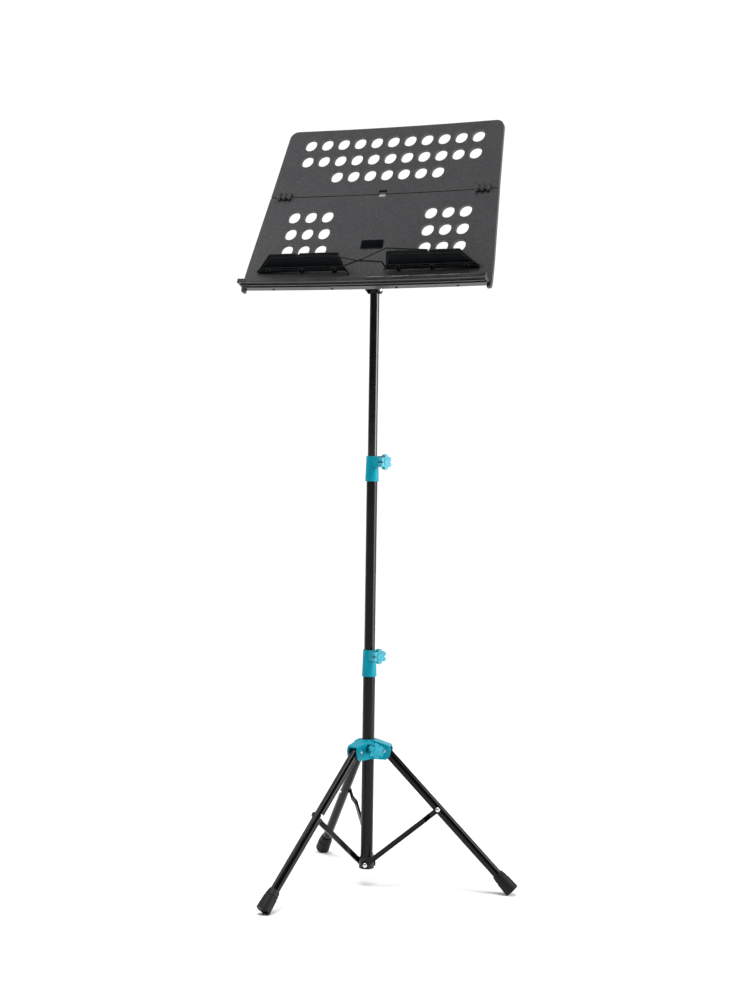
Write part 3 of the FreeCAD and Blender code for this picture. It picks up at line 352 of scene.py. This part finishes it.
def studio_world():
    """White ahead of the camera, dimmer behind it; all white where the camera sees it."""
    world = bpy.data.worlds.new("studio")
    bpy.context.scene.world = world
    world.use_nodes = True
    tree = world.node_tree
    tree.nodes.clear()
    out = tree.nodes.new("ShaderNodeOutputWorld")
    glow = tree.nodes.new("ShaderNodeBackground")
    place = tree.nodes.new("ShaderNodeTexCoord")
    ahead = tree.nodes.new("ShaderNodeVectorMath")
    ahead.operation = "DOT_PRODUCT"
    ahead.inputs[1].default_value = (-math.sin(CAMERA_TURN), math.cos(CAMERA_TURN), 0.0)
    spread = tree.nodes.new("ShaderNodeMapRange")
    spread.inputs["From Min"].default_value = WORLD_FADE[0]
    spread.inputs["From Max"].default_value = WORLD_FADE[1]
    spread.inputs["To Min"].default_value = WORLD_BEHIND
    spread.inputs["To Max"].default_value = WORLD_AHEAD
    tree.links.new(place.outputs["Generated"], ahead.inputs[0])
    tree.links.new(ahead.outputs["Value"], spread.inputs["Value"])
    sight = tree.nodes.new("ShaderNodeLightPath")
    backdrop = tree.nodes.new("ShaderNodeMapRange")
    backdrop.inputs["To Max"].default_value = WORLD_AHEAD
    tree.links.new(sight.outputs["Is Camera Ray"], backdrop.inputs["Value"])
    tree.links.new(spread.outputs["Result"], backdrop.inputs["To Min"])
    tree.links.new(backdrop.outputs["Result"], glow.inputs["Strength"])
    glow.inputs["Color"].default_value = (1.0, 1.0, 1.0, 1.0)
    tree.links.new(glow.outputs["Background"], out.inputs["Surface"])


def add_light(name, kind, energy, beam):
    """Light named name whose beam runs along the vector beam."""
    lamp = bpy.data.lights.new(name, kind)
    lamp.energy = energy
    light = bpy.data.objects.new(name, lamp)
    bpy.context.collection.objects.link(light)
    light.rotation_mode = "QUATERNION"
    light.rotation_quaternion = beam.to_track_quat("-Z", "Y")
    return light


def soft_box(name, azimuth, distance, height, width, tall, power, aim):
    """Area light placed round the object; azimuth 0 is the player's side."""
    angle = math.radians(azimuth)
    place = Vector((distance * math.sin(angle), -distance * math.cos(angle), height))
    light = add_light(name, "AREA", power, Vector(aim) - place)
    light.location = place
    light.data.shape = "RECTANGLE"
    light.data.size = width
    light.data.size_y = tall


def soft_sun(name, azimuth, height, strength, spread):
    """Even light from a wide patch of the studio's ceiling."""
    angle, rise = math.radians(azimuth), math.radians(height)
    toward = Vector((math.sin(angle) * math.cos(rise), -math.cos(angle) * math.cos(rise),
                     math.sin(rise)))
    light = add_light(name, "SUN", strength, -toward)
    light.data.angle = math.radians(spread)


def photo_camera():
    """Scene camera at CAMERA_PLACE, turned, yawed, pitched and rolled as in the photo."""
    camera = bpy.data.cameras.new("camera")
    camera.lens = CAMERA_LENS
    camera.sensor_width = CAMERA_SENSOR
    camera.clip_end = CAMERA_REACH
    seat = bpy.data.objects.new("camera", camera)
    bpy.context.collection.objects.link(seat)
    ahead = Vector((math.sin(CAMERA_YAW) * math.cos(CAMERA_PITCH),
                    math.cos(CAMERA_YAW) * math.cos(CAMERA_PITCH),
                    math.sin(CAMERA_PITCH)))
    right = Vector((math.cos(CAMERA_YAW), -math.sin(CAMERA_YAW), 0.0))
    up = right.cross(ahead)
    level = math.cos(CAMERA_ROLL) * right + math.sin(CAMERA_ROLL) * up
    rise = -math.sin(CAMERA_ROLL) * right + math.cos(CAMERA_ROLL) * up
    turn = Matrix.Rotation(CAMERA_TURN, 3, "Z")
    columns = [turn @ level, turn @ rise, turn @ -ahead]
    basis = Matrix(columns).transposed().to_4x4()
    basis.translation = Vector(CAMERA_PLACE)
    seat.matrix_world = basis
    bpy.context.scene.camera = seat


studio_floor()
studio_world()
soft_sun("ceiling", azimuth=20.0, height=78.0, strength=3.1, spread=32.0)
soft_box("right_wall", azimuth=103.0, distance=2.6, height=1.28, width=1.7, tall=2.4,
         power=104.0, aim=(0.0, 0.0, 1.28))
soft_box("desk_glow", azimuth=-66.0, distance=1.5, height=1.85, width=0.9, tall=0.9,
         power=15.0, aim=(-0.1, 0.0, 1.25))
photo_camera()

view = bpy.context.scene.view_settings
view.view_transform = "Standard"
view.look = "None"
view.exposure = 0.0
